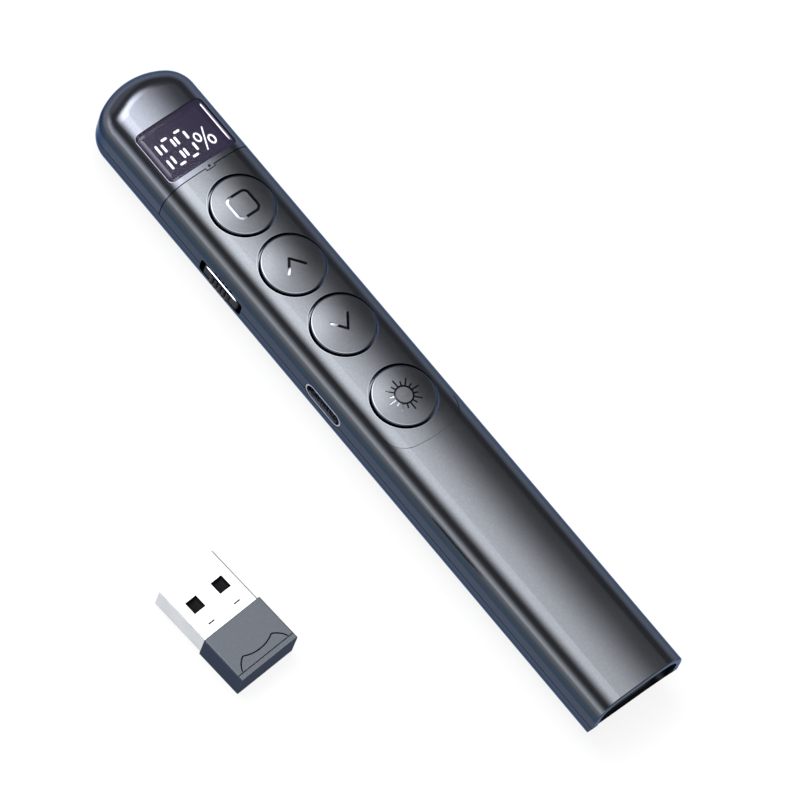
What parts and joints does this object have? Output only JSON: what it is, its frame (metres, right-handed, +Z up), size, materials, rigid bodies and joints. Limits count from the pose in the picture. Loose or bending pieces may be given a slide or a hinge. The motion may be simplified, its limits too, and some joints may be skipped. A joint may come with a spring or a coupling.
{
  "type": "presentation clicker",
  "caption": "Slim pen-shaped wireless presentation clicker with round push keys, a small digit display, a slide switch, a charging port and a loose USB receiver that stores in the open tail.",
  "frame": {"origin": "centre of the pen's flat underside, half way along its length", "axes": "+X to the pen's right, +Y towards its nose, +Z up through the keys"},
  "size_m": [0.0615, 0.1348, 0.0139],
  "materials": {
    "gunmetal": "satin gunmetal coating",
    "key_gunmetal": "satin gunmetal coating",
    "knob_plastic": "satin",
    "smoked_lens": "smoked, polished",
    "lit_segments": "white, lit from below",
    "clear_resin": "clear",
    "black_plastic": "matte",
    "white_plastic": "matte",
    "port_plastic": "matte",
    "polished_steel": "bright plated",
    "nickel_sheet": "plated sheet",
    "plated_steel": "zinc plated",
    "tinned_wire": "tinned",
    "gold_plate": "gold plated",
    "green_board": "solder resist",
    "ceramic": "fired",
    "cell_foil": "foil pouch",
    "lead_insulation": "insulated wire",
    "foam": "foam"
  },
  "bodies": {
    "handset": {"bottom_shell": "gunmetal", "top_shell": "gunmetal", "head_cover": "gunmetal", "display_window": "smoked_lens", "display_module": "black_plastic", "display_segments": "lit_segments", "display_pins": "tinned_wire", "indicator_led": "clear_resin", "indicator_pipe": "clear_resin", "switch_bases": "black_plastic", "switch_covers": "nickel_sheet", "screen_dome": "nickel_sheet", "previous_dome": "nickel_sheet", "next_dome": "nickel_sheet", "pointer_dome": "nickel_sheet", "main_board": "green_board", "board_screws": "plated_steel", "controller_chip": "black_plastic", "radio_chip": "black_plastic", "charge_chip": "black_plastic", "crystal": "nickel_sheet", "antenna": "ceramic", "board_passives": "ceramic", "usb_port_shell": "polished_steel", "usb_port_tongue": "port_plastic", "usb_port_contacts": "gold_plate", "power_switch_case": "nickel_sheet", "battery_cell": "cell_foil", "battery_board": "green_board", "battery_leads": "lead_insulation", "battery_socket": "white_plastic", "battery_foam": "foam", "laser_barrel": "gold_plate", "laser_lens": "clear_resin", "laser_diode": "nickel_sheet", "laser_board": "green_board", "laser_leads": "lead_insulation", "laser_bezel": "polished_steel", "tail_liner": "black_plastic", "bay_magnet": "nickel_sheet"},
    "screen_button": {"screen_key": "key_gunmetal", "screen_plunger": "white_plastic"},
    "previous_button": {"previous_key": "key_gunmetal", "previous_plunger": "white_plastic"},
    "next_button": {"next_key": "key_gunmetal", "next_plunger": "white_plastic"},
    "pointer_button": {"pointer_key": "key_gunmetal", "pointer_plunger": "white_plastic"},
    "switch_knob": {"power_knob": "knob_plastic", "power_switch_lever": "black_plastic"},
    "receiver": {"receiver_cap": "key_gunmetal", "receiver_plug_shell": "polished_steel", "receiver_tongue": "black_plastic", "receiver_contacts": "gold_plate", "receiver_board": "green_board", "receiver_chip": "black_plastic"}
  },
  "joints": [
    {"name": "screen_press", "type": "slide", "parent": "handset", "child": "screen_button", "axis": [0, 0, -1], "range_m": [0, 0.00035], "stiffness_N_per_m": 3000, "springref_m": -0.00015, "deforming": ["screen_dome"]},
    {"name": "previous_press", "type": "slide", "parent": "handset", "child": "previous_button", "axis": [0, 0, -1], "range_m": [0, 0.00035], "stiffness_N_per_m": 3000, "springref_m": -0.00015, "deforming": ["previous_dome"]},
    {"name": "next_press", "type": "slide", "parent": "handset", "child": "next_button", "axis": [0, 0, -1], "range_m": [0, 0.00035], "stiffness_N_per_m": 3000, "springref_m": -0.00015, "deforming": ["next_dome"]},
    {"name": "pointer_press", "type": "slide", "parent": "handset", "child": "pointer_button", "axis": [0, 0, -1], "range_m": [0, 0.00035], "stiffness_N_per_m": 3000, "springref_m": -0.00015, "deforming": ["pointer_dome"]},
    {"name": "power_slide", "type": "slide", "parent": "handset", "child": "switch_knob", "axis": [0, 1, 0], "range_m": [-0.0008, 0.0008]},
    {"name": "receiver_lift", "type": "slide", "parent": "handset", "child": "receiver", "axis": [0, 0, 1], "range_m": [0, 0.04]}
  ]
}
